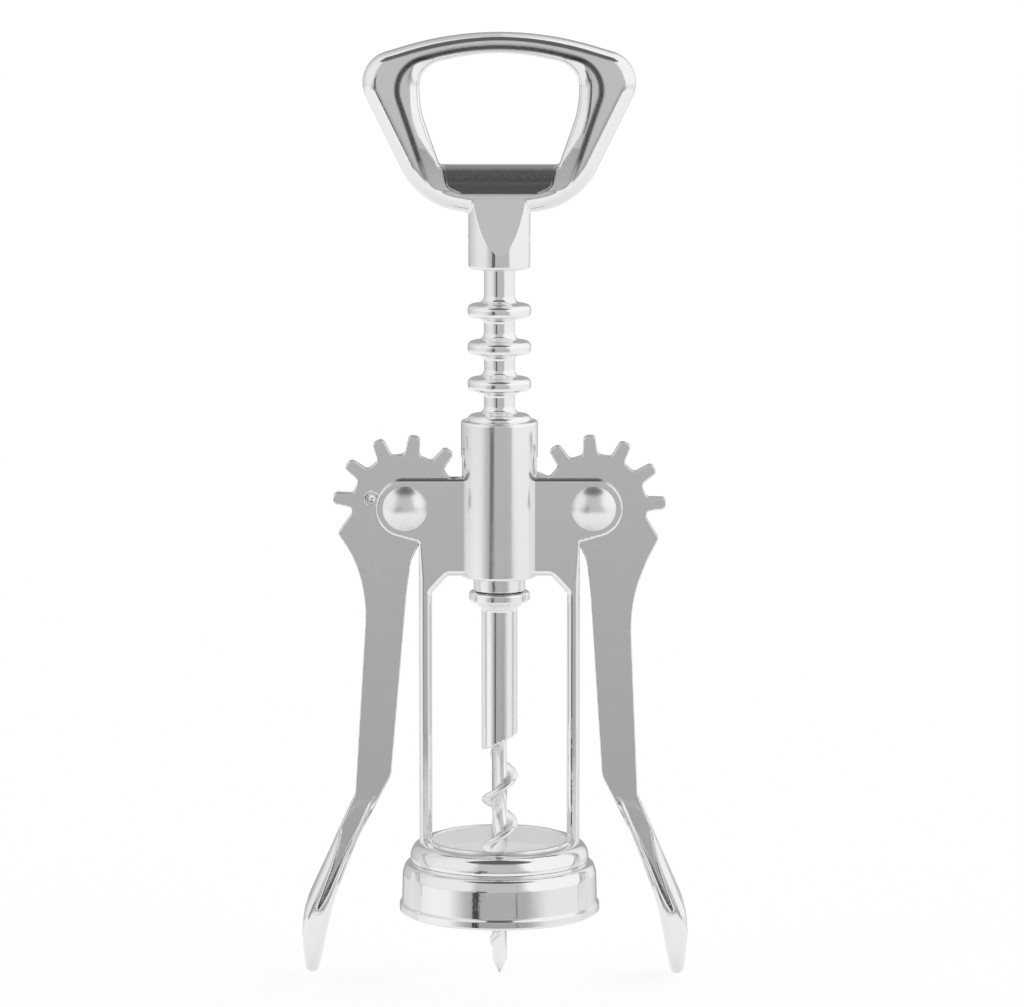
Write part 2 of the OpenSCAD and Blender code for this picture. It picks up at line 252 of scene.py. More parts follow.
def skin(name, field, low, high, cell, merge_flats=True):
    """The closed surface of a distance field, as a mesh with a point in each cell it crosses."""
    low, high, cell = np.array(low, float), np.array(high, float), np.array(cell, float)
    counts = np.ceil((high - low) / cell).astype(int) + 4
    start = (low + high) / 2 - (counts - 1) * cell / 2
    axes = [start[i] + cell[i] * np.arange(counts[i]) for i in range(3)]
    values = field(*np.meshgrid(*axes, indexing="ij", sparse=True))
    inside = np.broadcast_to(values < 0, counts)

    nx, ny, nz = counts - 1
    corners_in = sum(inside[i:nx + i, j:ny + j, k:nz + k].astype(int)
                     for i in (0, 1) for j in (0, 1) for k in (0, 1))
    crossed = (corners_in > 0) & (corners_in < 8)
    cells = np.argwhere(crossed)
    cell_number = np.full(crossed.shape, -1)
    cell_number[crossed] = np.arange(len(cells))

    middles = start + (cells + 0.5) * cell
    points = middles.copy()
    for _ in range(3):
        slope = gradient(field, points)
        step = field(*points.T)[:, None] * slope / np.maximum((slope ** 2).sum(1), 0.2)[:, None]
        points = np.clip(points - step, middles - cell / 2, middles + cell / 2)

    def normals_at(at):
        slope = gradient(field, at)
        return slope / np.maximum(np.linalg.norm(slope, axis=1), 1e-6)[:, None]

    faces = crossed_quads(inside, cell_number)
    if not merge_flats:
        return finish_mesh(name, points, faces.tolist(), normals_at)
    draft = bpy.data.meshes.new(name + "_draft")
    draft.from_pydata(points.tolist(), [], faces.tolist())
    work = bmesh.new()
    work.from_mesh(draft)
    bmesh.ops.dissolve_limit(work, angle_limit=math.radians(0.2), verts=work.verts,
                             edges=work.edges)
    points = np.array([v.co for v in work.verts], float)
    work.verts.index_update()
    faces = [[v.index for v in f.verts] for f in work.faces]
    work.free()
    bpy.data.meshes.remove(draft)
    return finish_mesh(name, points, faces, normals_at)


# ---- turned parts ----

TO_AXIS = {"z": np.eye(3),
           "y": np.array([[1, 0, 0], [0, 0, -1], [0, 1, 0]]),
           "x": np.array([[0, 0, 1], [1, 0, 0], [0, 1, 0]])}


def profile_points(corners, arc_step):
    """Points round a turned part's section, with the outward direction at each."""
    points, normals = [], []
    for arc in corner_arcs(corners):
        outward = math.atan2(arc["outward"][1], arc["outward"][0])
        half_sweep = math.pi / 2 - arc["half"]
        if arc["radius"] < 0.01:
            points.append(arc["centre"])
            normals.append([0, math.copysign(1, math.sin(outward))])
            continue
        steps = max(3, math.ceil(2 * half_sweep / arc_step))
        for t in np.linspace(-half_sweep, half_sweep, steps + 1) * arc["bend"]:
            direction = np.array([math.cos(outward + t), math.sin(outward + t)])
            points.append(arc["centre"] + arc["radius"] * direction)
            normals.append(direction * arc["bend"])
    return np.array(points), np.array(normals)


def turned(name, corners, axis="z", centre=(0, 0, 0), around=144, arc_step=math.radians(7)):
    """A turned part from its section's corners [radius, height, fillet]."""
    section, section_normals = profile_points(corners, arc_step)
    angles = np.arange(around) * 2 * math.pi / around
    points, normals, rings = [], [], []
    for (r, h), (nr, nh) in zip(section, section_normals):
        if r < 0.01:
            rings.append([len(points)] * around)
            points.append([0, 0, h])
            normals.append([0, 0, math.copysign(1, nh)])
            continue
        rings.append(list(range(len(points), len(points) + around)))
        points += [[r * math.cos(a), r * math.sin(a), h] for a in angles]
        normals += [[nr * math.cos(a), nr * math.sin(a), nh] for a in angles]
    faces = []
    for ring, above in zip(rings, rings[1:] + rings[:1]):
        for i in range(around):
            j = (i + 1) % around
            quad = list(dict.fromkeys([ring[i], ring[j], above[j], above[i]]))
            if len(quad) > 2:
                faces.append(quad)
    turn = TO_AXIS[axis]
    points = np.array(points) @ turn.T + np.array(centre)
    normals = np.array(normals) @ turn.T
    return finish_mesh(name, points, faces, lambda at: normals)


# ---- shapes ----

def bell_mesh():
    hole_r, skirt_in_r = 12.8, 15.8
    rim_r = BELL_HIGH[0]
    top_z, groove_z, seat_z, rim_z = 3.5, -0.85, 0, BELL_LOW[2]
    mesh = turned("bell", [
        [hole_r, top_z, 0.3],
        [hole_r + 0.8, top_z, 0.3],
        [hole_r + 0.95, top_z - 0.4, 0.2],
        [hole_r + 3.4, top_z - 0.6, 2.4],
        [hole_r + 4.4, groove_z + 1.25, 3],
        [hole_r + 4.2, groove_z + 0.35, 0.3],
        [hole_r + 3.9, groove_z, 0.15],
        [rim_r - 1.15, groove_z - 0.3, 1.2],
        [rim_r - 0.59, groove_z - 2.15, 2.5],
        [rim_r - 0.45, rim_z + 2, 0.3],
        [rim_r, rim_z + 1.6, 0.2],
        [rim_r, rim_z, 0.5],
        [skirt_in_r, rim_z, 0.3],
        [skirt_in_r, seat_z, 0.1],
        [hole_r, seat_z, 0.2]], around=224)
    # the inside is as it was cast
    at = np.array([v.co for v in mesh.vertices]) / MM
    r, z = np.hypot(at[:, 0], at[:, 1]), at[:, 2]
    cast_inside = np.where(r < hole_r + 0.05, np.clip((top_z - 0.1 - z) / 0.3, 0, 1), 0)
    cast_inside[(r < skirt_in_r + 0.05) & (z < seat_z + 0.01)] = 1
    set_values(mesh, "unpolished", cast_inside)
    return mesh


def barrel_mesh():
    middle_r = BARREL_R - BARREL_WALL / 2
    z0, z1 = BARREL_LOW[2], BARREL_HIGH[2]
    slot_half = math.sqrt(GEAR_CLEAR_R ** 2 - (PIVOT_X - BARREL_R) ** 2)
    slot_half_y = LEVER_HALF + 2 * SIDE_GAP

    def field(x, y, z):
        ring = np.abs(np.hypot(x, y) - middle_r) - BARREL_WALL / 2
        tube = common(ring, np.abs(z - (z0 + z1) / 2) - (z1 - z0) / 2, 0.42)
        slot = np.maximum(np.abs(y) - slot_half_y, np.abs(z - PIVOT_Z) - slot_half)
        return cut(tube, slot, 0.15)

    return skin("barrel", field, BARREL_LOW, BARREL_HIGH, [0.24, 0.24, 0.3], merge_flats=False)


def upright_mesh(side):
    node = "right_upright" if side > 0 else "left_upright"
    low, high = box_mm(node)
    low[2] -= 1                              # the leg's foot sinks into the bell
    inner_x, leg_in, leg_out = 3, 12.9, 15.3
    leg_slope = math.tan(math.radians(16))   # of the ear's lower edge, outside the leg
    ear_r = UPRIGHT_HIGH[0] - PIVOT_X
    ear_x = PIVOT_X + ear_r
    shoulder_z = PIVOT_Z - 6.5
    under_z = BARREL_LOW[2] + 0.3
    shape = outline([
        [inner_x, PIVOT_Z + ear_r, 0.1],
        [ear_x, PIVOT_Z + ear_r, ear_r * 0.98],
        [ear_x, shoulder_z + (ear_x - leg_out) * leg_slope, ear_r * 0.98],
        [leg_out, shoulder_z, 0.25],
        [leg_out, low[2], 0.1],
        [leg_in, low[2], 0.1],
        [leg_in, under_z - 3.4, 1],
        [leg_in - 3.1, under_z, 1],
        [inner_x, under_z, 0.1]])
    taper_z, taper_r, end_z = 23, 300, -6
    from_side = outline(both_sides([
        [UPRIGHT_HALF, PIVOT_Z + 2 * ear_r, 0.1], [UPRIGHT_HALF, taper_z, taper_r],
        [UPRIGHT_HALF - 1.1, end_z, 0.1]]))

    def field(x, y, z):
        x = x * side
        # the edges are rounder on the leg than on the ear
        edge = 0.4 + 0.75 * np.clip((shoulder_z + 1 - z) / 8, 0, 1)
        slab = common(shape(x, z), from_side(y, z), edge)
        gear_room = np.maximum(np.hypot(x - PIVOT_X, z - PIVOT_Z) - GEAR_CLEAR_R,
                               np.abs(y) - LEVER_HALF - SIDE_GAP)
        solid = cut(slab, gear_room, 0.15)
        solid = cut(solid, np.hypot(x, y) - (BARREL_R - 0.3), 0.05)
        return cut(solid, np.hypot(x - PIVOT_X, z - PIVOT_Z) - RIVET_R, 0.05)

    mesh = skin(node, field, low, high, [0.24, 0.24, 0.3])
    # painted shade: a dark line along the ears' top edge
    heights = np.array([v.co.z for v in mesh.vertices]) / MM
    set_values(mesh, "painted_shade", np.clip((heights - PIVOT_Z - ear_r + 0.3) / 0.1, 0, 1) * 0.9)
    return mesh


def rivet_mesh(side):
    head_r = RIVET_HIGH[0] - PIVOT_X
    face, top = UPRIGHT_HALF, RIVET_HIGH[1]
    sunk = face - 0.3                        # the heads' edges are sunk into the ears
    height = top - face
    dome_r = (head_r ** 2 + height ** 2) / (2 * height)
    bend = math.asin(head_r / dome_r)
    crown = dome_r * math.tan(bend / 2)
    return turned("rivet", [
        [0, -top, 0], [crown, -top, dome_r * 0.99], [head_r, -face, 0.05],
        [head_r - 0.1, -sunk, 0.05], [RIVET_R, -sunk, 0.04],
        [RIVET_R, sunk, 0.04], [head_r - 0.1, sunk, 0.05],
        [head_r, face, 0.05], [crown, top, dome_r * 0.99], [0, top, 0]],
        axis="y", centre=(side * PIVOT_X, 0, PIVOT_Z), around=96, arc_step=math.radians(4))


def rack_mesh():
    z0, z1 = RACK_LOW[2], RACK_HIGH[2]
    ring_r = RACK_HIGH[0]
    neck_r, neck_z = 4.9, z0 + 4
    bore_r = ROD_R + 0.05
    top_ring_z, pitch, count = 105.1, 7, 7
    rings = []
    for i in range(count):
        z = top_ring_z + (i - count + 1) * pitch
        rings += [[RACK_R, z - 1.35, 1.1], [ring_r, z - 1.2, 1.0],
                  [ring_r, z + 1.2, 1.0], [RACK_R, z + 1.45, 1.6]]
    return turned("rack_spindle", [
        [bore_r, z0, 0.05], [neck_r, z0, 0.3], [neck_r, neck_z, 0.35],
        [RACK_R, neck_z + 1, 0.5], *rings, [RACK_R, z1, 0.1], [bore_r, z1, 0.05]])


def rod_mesh():
    collar_z = COLLAR_LOW[2]
    top_z = ROD_HIGH[2]
    below_z = ROD_LOW[2] - 6                 # the slanting end cuts this off
    flare_r = ROD_HIGH[0]
    stem_room_r = 1.55
    end_z, end_tilt = 22.4, math.radians(25)
    shape = outline([
        [-SHANK_R, below_z, 0.5], [SHANK_R, below_z, 0.5],
        [SHANK_R, collar_z - 1.2, 0.6], [flare_r, collar_z - 0.2, 0.15], [flare_r, collar_z, 0.1],
        [ROD_R, collar_z, 0.05], [ROD_R, top_z, 0.4], [-ROD_R, top_z, 0.4],
        [-ROD_R, collar_z, 0.05], [-flare_r, collar_z, 0.1], [-flare_r, collar_z - 0.2, 0.15],
        [-SHANK_R, collar_z - 1.2, 0.6]])

    def field(x, y, z):
        below_end = (end_z - z) * math.cos(end_tilt) + x * math.sin(end_tilt)
        solid = common(shape(np.hypot(x, y), z), below_end, 0.2)
        stem_room = np.maximum(np.hypot(x, y) - stem_room_r, z - WORM_HIGH[2] - 0.1)
        return cut(solid, stem_room, 0.15)

    return skin("spindle_rod", field, ROD_LOW, ROD_HIGH, [0.2, 0.2, 0.35], merge_flats=False)


def worm_mesh():
    core_r = 1.45
    edge_r = WORM_HIGH[0]
    pitch, turns, start_z = 9.25, 4.25, 20.3
    top_z, tip_z = WORM_HIGH[2], WORM_LOW[2]
    steps = 40
    last = round(turns * steps)
    # across the edge: how far from its middle line, and how much of its full height
    lower = [(-0.95, 0), (-0.84, 0.06), (-0.74, 0.26), (-0.68, 0.55), (-0.56, 0.8), (-0.32, 0.95)]
    section = lower + [(0, 1)] + [(-offset, height) for offset, height in reversed(lower)]
    across = len(section)

    def core_at(z):
        """The core's radius: it gets a little thinner near the point."""
        return core_r - 0.1 * np.clip((-8 - z) / 10, 0, 1)

    def point(i, r, z):
        angle = math.pi - 2 * math.pi * i / steps
        return [r * math.cos(angle), r * math.sin(angle), z]

    points = []
    for i in range(last + 1):
        grown = min(1, i / (0.28 * steps), (last - i) / (1.1 * steps))
        for offset, height in section:
            z = start_z - pitch * i / steps + offset
            points.append(point(i, core_at(z) + (edge_r - core_at(z)) * grown * height, z))
    faces = []
    for i in range(last):
        for j in range(across - 1):
            a = across * i + j
            faces.append([a, a + across, a + across + 1, a + 1])
    # the core between one turn and the next
    for i in range(last - steps):
        a, b = across * i, across * (i + steps) + across - 1
        faces.append([a, b, b + across, a + across])
    # the stem above the first turn
    tops = len(points)
    points += [point(i, core_r, top_z) for i in range(steps)]
    first_row = [across * i + across - 1 for i in range(steps)]
    for i in range(steps - 1):
        faces.append([first_row[i], first_row[i + 1], tops + i + 1, tops + i])
    seam = [across * steps + across - 1] + list(range(across)) + [tops]
    corner = first_row[-1]
    faces += [[corner, seam[k], seam[k + 1]] for k in range(len(seam) - 1)]
    faces.append([corner, tops, tops + steps - 1])
    faces.append([tops + i for i in range(steps)])
    # the core under the last turn, and the point below it, with a blunt end
    foot_z = start_z - pitch * turns - 1.2
    blunt_r, blunt_z = 0.15, tip_z + 0.08
    foot = len(points)
    points += [point(i, core_at(foot_z), foot_z) for i in range(last - steps, last)]
    blunt = len(points)
    points += [point(i, blunt_r, blunt_z) for i in range(steps)]
    tip = len(points)
    points.append([0, 0, tip_z])
    for i in range(steps - 1):
        root = across * (last - steps + i)
        faces.append([root, foot + i, foot + i + 1, root + across])
    for i in range(steps):
        j = (i + 1) % steps
        faces.append([foot + i, blunt + i, blunt + j, foot + j])
        faces.append([blunt + i, tip, blunt + j])
    # the last strip closes round the end of the last turn
    end_row = ([foot] + [across * (last - steps)]
               + [across * last + j for j in range(across - 1, -1, -1)])
    hub = foot + steps - 1
    faces += [[hub, end_row[k], end_row[k + 1]] for k in range(len(end_row) - 1)]
    faces.append([hub, across * last, across * (last - 1)])
    mesh = bpy.data.meshes.new("worm")
    mesh.from_pydata((np.array(points) * MM).tolist(), [], faces)
    mesh.shade_smooth()
    return mesh


def collar_mesh():
    z0, z1 = COLLAR_LOW[2], COLLAR_HIGH[2]
    r = COLLAR_HIGH[0]
    return turned("thrust_collar", [
        [ROD_R, z0, 0.05], [r - 0.9, z0, 0.25], [r, z0 + 0.6, 0.5],
        [r, z1, 0.55], [ROD_R, z1, 0.05]])


def pin_mesh():
    middle_z = (PIN_LOW[2] + PIN_HIGH[2]) / 2
    r = PIN_HIGH[2] - middle_z
    reach = PIN_HIGH[0] + 0.12
    return turned("handle_pin", [
        [0, -reach, 0], [r, -reach, 0.3], [r, reach, 0.3], [0, reach, 0]],
        axis="x", centre=(0, 0, middle_z), around=48)


HOLE_Z = 132.6                               # the lower edge of the handle's hole
LOOP = [[0, 160.4, 62], [28.2, 151.9, 6], [15.15, 125.3, 14], [0, 122.6, 30]]
HOLE = [[0, 154.5, 38], [15.2, 151.3, 5], [14.9, 143, 20], [11.3, HOLE_Z, 0.6]]
RIM = [[0, 156.8, 50], [20.8, 150.9, 6], [12.9, 127.8, 0.6]]
LOOP_HALF = 3.1                              # half the loop's thickness
RIM_HALF = 3.5                               # the same at the raised rim of the hole


def handle_mesh():
    loop, hole, rim = (outline(both_sides(half)) for half in (LOOP, HOLE, RIM))
    socket_top = SOCKET_Z + 13
    # the flat face that runs from the loop down into the socket
    tongue_z, tongue_length = SOCKET_Z + 3.5, 9.2
    tongue_slope = (SOCKET_R - LOOP_HALF) / tongue_length
    # the hollow under the hole's edge, in front only
    scoop_r, scoop_y, scoop_z = 9.1, -LOOP_HALF - 6.8, HOLE_Z + 0.8
    scoop_ends = outline(both_sides([[10.9, scoop_z, 0.1], [9.9, HOLE_Z - 4.2, 1.5],
                                     [6.4, HOLE_Z - 5.8, 1.5]]))

    def scoop(x, y, z):
        return common(np.hypot(y - scoop_y, z - scoop_z) - scoop_r, scoop_ends(x, z), 0.5)

    def field(x, y, z):
        depth = np.abs(y)
        ring = common(loop(x, z), depth - LOOP_HALF, 2.9)
        # the raised rim sinks into the face below the hole
        rim_top = RIM_HALF - 0.08 * np.clip(HOLE_Z + 3.4 - z, 0, 10)
        ledge = common(rim(x, z), depth - rim_top, 0.35)
        solid = either(ring, ledge, 0.4)
        solid = cut(solid, hole(x, z), 0.6 + 2.2 * np.clip((z - HOLE_Z - 1) / 5, 0, 1))
        socket = common(np.hypot(x, y) - SOCKET_R,
                        np.maximum(SOCKET_Z - z, z - socket_top), 0.8)
        in_front = (depth - SOCKET_R) + (z - tongue_z) * tongue_slope
        socket = common(socket, in_front / math.hypot(1, tongue_slope), 0.15)
        solid = either(solid, socket, 0.45)
        solid = cut(solid, scoop(x, y, z), 0.15)
        return cut(solid, np.maximum(np.hypot(x, y) - ROD_R, z - ROD_HIGH[2]), 0.1)

    mesh = skin("handle", field, HANDLE_LOW, HANDLE_HIGH, [0.23, 0.235, 0.23], merge_flats=False)
    # painted shade: the groove round the rim and the scoop are darkened
    x, y, z = (np.array([v.co for v in mesh.vertices]) / MM).T
    groove = np.clip(1.8 - np.abs(rim(x, z) - 0.1) / 0.38, 0, 1) * np.clip((z - 129) / 5, 0, 1)
    scoop_shade = np.clip((z - 127.5) / 2.5, 0.4, 0.92) - 0.35 * np.clip((z - 131.6) / 0.6, 0, 1)
    hollow = np.clip(1 - scoop(x, y, z) / 0.3, 0, 1) * scoop_shade
    set_values(mesh, "painted_shade", np.maximum(groove, hollow))
    return mesh


# a lever is drawn about its pivot as the right-hand one, in the pose before its rest angle

def at_angle(radius, degrees, fillet):
    """An outline's corner at a distance and an angle from the pivot."""
    angle = math.radians(degrees)
    return [radius * math.cos(angle), radius * math.sin(angle), fillet]


def lever_corners(phase, waist):
    """The plate's outline: arm, shoulder and gear, anticlockwise.

    At phase 0 the middle tooth would point at the rack, and phase turns the gear clockwise from
    there, in degrees. waist is how far out the arm's outer edge is just below the gear."""
    shoulder, back = 61 - phase, 205
    corners = [
        [-6.5, -7.2, 0.6], [-2.9, -6.6, 0.6], [-1.1, -10.4, 8], [-0.3, -17.5, 20],
        [2.3, -52, 4], [8.3, -63.4, 25], [13.2, -76, 40], [16.1, -90.2, 1.1],
        [18.3, -89.8, 1.2], [19.2, -78.8, 16], [9.1, -55.4, 3], [7.2, -18.5, 28],
        [waist, -10.2, 22], at_angle(GEAR_TIP_R, shoulder, 0.7)]
    root_half = math.degrees(1.4 / GEAR_ROOT_R)
    tip_half = math.degrees(1.1 / GEAR_TIP_R)
    step = 360 / TEETH_PER_TURN
    first = 180 - phase - (TEETH - 1) / 2 * step
    corners.append(at_angle(GEAR_ROOT_R, first - 14, 0.9))
    for k in range(TEETH):
        middle = first + k * step
        corners += [at_angle(GEAR_ROOT_R, middle - root_half, 0.9),
                    at_angle(GEAR_TIP_R, middle - tip_half, 0.85),
                    at_angle(GEAR_TIP_R, middle + tip_half, 0.85),
                    at_angle(GEAR_ROOT_R, middle + root_half, 0.9)]
    corners.append(at_angle(GEAR_ROOT_R, back, 3))
    return corners


# the hollow in each side of the pad, which leaves a web the thickness of the plate
WEB = [[5.2, -54.5, 0.5], [10.2, -54.5, 0.5], [11.4, -60.2, 6], [12.8, -68.1, 30],
       [16.6, -78.3, 0.15], [14.2, -74.2, 30], [11.6, -68.1, 30], [8.4, -61.9, 4]]


def lever_mesh(side, phase, waist, rest):
    """One lever, turned by its rest angle in degrees."""
    plate_outline = outline(lever_corners(phase, waist))
    web = outline(WEB)
    pad_top = -56
    pad_side = outline(both_sides([
        [LEVER_HALF, pad_top, 0.3], [PAD_HALF * 0.52, pad_top - 9, 20],
        [PAD_HALF + 0.3, pad_top - 18.5, 22], [PAD_HALF * 0.78, pad_top - 31, 12],
        [PAD_HALF * 0.42, pad_top - 35.4, 2]]))
    cos_rest, sin_rest = math.cos(math.radians(rest)), math.sin(math.radians(rest))
    node = "right_lever" if side > 0 else "left_lever"

    def field(x, y, z):
        across, up = x * side - PIVOT_X, z - PIVOT_Z
        u = across * cos_rest - up * sin_rest
        v = across * sin_rest + up * cos_rest
        depth = np.abs(y)
        flat = plate_outline(u, v)
        plate = common(flat, depth - LEVER_HALF, 0.2)
        pad = common(flat, pad_side(y, v), 1.4)
        hollow = np.maximum(web(u, v), LEVER_HALF - 0.15 - depth)
        pad = cut(pad, hollow, 0.5)
        solid = either(plate, pad, 0.3)
        if side < 0:
            from_dimple = across - 6.4, y + LEVER_HALF + 0.2, up - 1.7
            dimple = np.sqrt(sum(offset ** 2 for offset in from_dimple)) - 1.3
            solid = cut(solid, dimple, 0.12)
        return cut(solid, np.hypot(across, up) - RIVET_R - 0.05, 0.1)

    # the cells are cut so that the plate's faces pass through their middles
    return skin(node, field, *box_mm(node), [0.22, LEVER_HALF / 5.25, 0.25])


# ---- materials ----

class Graph:
    """A node tree with short calls for the nodes used here."""

    def __init__(self, tree):
        self.nodes, self.links = tree.nodes, tree.links

    def feed(self, socket, value):
        if isinstance(value, bpy.types.NodeSocket):
            self.links.new(value, socket)
        else:
            socket.default_value = value

    def math(self, operation, *values):
        node = self.nodes.new("ShaderNodeMath")
        node.operation = operation
        for socket, value in zip(node.inputs, values):
            self.feed(socket, value)
        return node.outputs[0]

    def between(self, value, low, high, to_low=0.0, to_high=1.0, smooth=True):
        """value mapped from low..high to to_low..to_high, with soft ends or straight."""
        node = self.nodes.new("ShaderNodeMapRange")
        node.interpolation_type = "SMOOTHSTEP" if smooth else "LINEAR"
        for name, given in (("Value", value), ("From Min", low), ("From Max", high),
                            ("To Min", to_low), ("To Max", to_high)):
            self.feed(node.inputs[name], given)
        return node.outputs["Result"]

    def blend(self, share, first, second):
        """A number or socket blended from first to second by share."""
        node = self.nodes.new("ShaderNodeMix")
        for socket, value in zip((node.inputs[0], node.inputs[2], node.inputs[3]),
                                 (share, first, second)):
            self.feed(socket, value)
        return node.outputs[0]

    def blend_colour(self, share, first, second):
        node = self.nodes.new("ShaderNodeMix")
        node.data_type = "RGBA"
        for socket, value in zip((node.inputs[0], node.inputs[6], node.inputs[7]),
                                 (share, first, second)):
            self.feed(socket, value)
        return node.outputs[2]

    def noise(self, at, scale, detail=3.0, roughness=0.5):
        node = self.nodes.new("ShaderNodeTexNoise")
        self.feed(node.inputs["Vector"], at)
        self.feed(node.inputs["Scale"], scale)
        self.feed(node.inputs["Detail"], detail)
        self.feed(node.inputs["Roughness"], roughness)
        return node.outputs["Fac"]

    def stretched(self, at, scale, turn=(0, 0, 0)):
        node = self.nodes.new("ShaderNodeMapping")
        self.feed(node.inputs["Vector"], at)
        node.inputs["Scale"].default_value = scale
        node.inputs["Rotation"].default_value = turn
        return node.outputs[0]

    def attribute(self, name):
        node = self.nodes.new("ShaderNodeAttribute")
        node.attribute_name = name
        return node.outputs["Fac"]

    def bump(self, height, distance, normal=None):
        node = self.nodes.new("ShaderNodeBump")
        self.feed(node.inputs["Height"], height)
        self.feed(node.inputs["Distance"], distance)
        self.feed(node.inputs["Strength"], 1.0)
        if normal is not None:
            self.feed(node.inputs["Normal"], normal)
        return node.outputs[0]


def grey(level):
    return (level, level, level, 1)


def chrome(name, bright, rough, ripple, pits, drawn=(1, 1, 1), has_painted_shade=False):
    """Chrome plate: handling smears, hair scratches, fine ripple and pits from the casting.

    ripple is a height in millimetres, and drawn stretches the finest part of it."""
    material = bpy.data.materials.new(name)
    material.use_nodes = True
    graph = Graph(material.node_tree)
    shader = graph.nodes["Principled BSDF"]
    shader.inputs["Metallic"].default_value = 1.0
    at = graph.nodes.new("ShaderNodeTexCoord").outputs["Object"]

    smear = graph.noise(at, 110, 4.0, 0.6)
    haze = graph.between(smear, 0.45, 0.75)
    scratch_map = graph.stretched(at, (5200, 5200, 240), (0.0, 0.35, 0.0))
    scratches = graph.between(graph.noise(scratch_map, 1.0, 2.0), 0.66, 0.74)
    pit_noise = graph.noise(at, 2600, 2.0, 0.6)
    pitted = graph.math("MULTIPLY", graph.between(pit_noise, 0.66, 0.76),
                        graph.between(smear, 0.4, 0.6, 0.0, min(pits, 1.0)))

    roughness = graph.between(haze, 0, 1, rough, rough * 1.9, smooth=False)
    roughness = graph.math("ADD", roughness, graph.math("MULTIPLY", scratches, 0.06))
    roughness = graph.math("ADD", roughness, graph.math("MULTIPLY", pitted, 0.12))
    base = graph.blend_colour(haze, grey(bright), grey(bright * 0.975))
    base = graph.blend_colour(graph.math("MULTIPLY", pitted, 0.5), base, grey(bright * 0.9))
    # painted shade: where a mesh marks creases and edges, the colour goes near black with a
    # speckle, and rougher
    if has_painted_shade:
        speckle = graph.noise(at, 1900, 3.0, 0.7)
        depth = graph.math("MULTIPLY", graph.attribute("painted_shade"),
                           graph.between(speckle, 0.3, 0.7, 0.9, 1.0, smooth=False))
        base = graph.blend_colour(depth, base, grey(0.06))
        roughness = graph.blend(depth, roughness, 0.4)
        unpolished = graph.attribute("unpolished")
        roughness = graph.blend(unpolished, roughness, 0.75)
        base = graph.blend_colour(unpolished, base, grey(0.99))
    graph.feed(shader.inputs["Base Color"], base)
    graph.feed(shader.inputs["Roughness"], roughness)

    wave = graph.noise(at, 420, 2.0)
    normal = graph.bump(wave, ripple * MM)
    fine = graph.noise(graph.stretched(at, drawn), 2200, 2.0)
    normal = graph.bump(fine, ripple * 0.12 * MM, normal=normal)
    marks = graph.math("ADD", scratches, graph.math("MULTIPLY", pitted, pits))
    dents = graph.math("MULTIPLY", marks, -1)
    normal = graph.bump(dents, 0.004 * MM, normal=normal)
    graph.feed(shader.inputs["Normal"], normal)
    return material


LOOKS = {
    # the castings and the uprights take painted shade where their meshes mark it
    "cast_chrome": dict(bright=0.915, rough=0.05, ripple=0.015, pits=1.5, has_painted_shade=True),
    "leg_chrome": dict(bright=0.915, rough=0.08, ripple=0.005, pits=0.6, has_painted_shade=True),
    "lever_chrome": dict(bright=0.895, rough=0.07, ripple=0.012, pits=1.0),
    "turned_chrome": dict(bright=0.935, rough=0.06, ripple=0.008, pits=0.6, drawn=(1, 1, 4)),
    "barrel_chrome": dict(bright=0.935, rough=0.11, ripple=0.006, pits=0.2, drawn=(4, 4, 0.3)),
    "rivet_chrome": dict(bright=0.93, rough=0.27, ripple=0.04, pits=5.0),
    "worm_steel": dict(bright=0.95, rough=0.22, ripple=0.02, pits=2.0, drawn=(1, 1, 5)),
}
MATERIALS = {name: chrome(name, **look) for name, look in LOOKS.items()}


# ---- pieces: each stands for the CAD node of its name ----

def add_piece(node, mesh, slot, material=None):
    piece = bpy.data.objects.new(node + "_surface", mesh)
    scene.collection.objects.link(piece)
    mesh.materials.append(MATERIALS[material or slot])
    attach(piece, body_of[node])
    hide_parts(node)


add_piece("bell", bell_mesh(), "cast_chrome")
add_piece("barrel", barrel_mesh(), "turned_chrome", "barrel_chrome")
add_piece("left_upright", upright_mesh(-1), "cast_chrome", "leg_chrome")
add_piece("right_upright", upright_mesh(1), "cast_chrome", "leg_chrome")
add_piece("left_rivet", rivet_mesh(-1), "turned_chrome", "rivet_chrome")
add_piece("right_rivet", rivet_mesh(1), "turned_chrome", "rivet_chrome")
add_piece("rack_spindle", rack_mesh(), "turned_chrome")
add_piece("spindle_rod", rod_mesh(), "turned_chrome")
add_piece("worm", worm_mesh(), "worm_steel")
add_piece("thrust_collar", collar_mesh(), "turned_chrome")
add_piece("handle", handle_mesh(), "cast_chrome")
add_piece("handle_pin", pin_mesh(), "worm_steel")
add_piece("left_lever", lever_mesh(-1, phase=83, waist=9.3, rest=-0.6), "lever_chrome")
add_piece("right_lever", lever_mesh(1, phase=86, waist=10.3, rest=0.6), "lever_chrome")


# ---- floor, studio and camera ----

def add_floor():
    """A pale floor, lit evenly, that takes only a faint shadow."""
    half, gap = 3.0, 0.0005                  # metres
    z = cad_bounds[0][2] - gap
    mesh = bpy.data.meshes.new("floor")
    mesh.from_pydata([(-half, -half, z), (half, -half, z), (half, half, z), (-half, half, z)],
                     [], [(0, 1, 2, 3)])
    floor = bpy.data.objects.new("floor", mesh)
    scene.collection.objects.link(floor)
    floor.visible_glossy = False
    material = bpy.data.materials.new("pale_floor")
    material.use_nodes = True
    graph = Graph(material.node_tree)
    shader = graph.nodes["Principled BSDF"]
    shader.inputs["Base Color"].default_value = (0.3, 0.3, 0.3, 1)
    shader.inputs["Roughness"].default_value = 0.9
    shader.inputs["Specular IOR Level"].default_value = 0.1
    shader.inputs["Emission Color"].default_value = (1, 1, 1, 1)
    shader.inputs["Emission Strength"].default_value = 0.79
    mesh.materials.append(material)


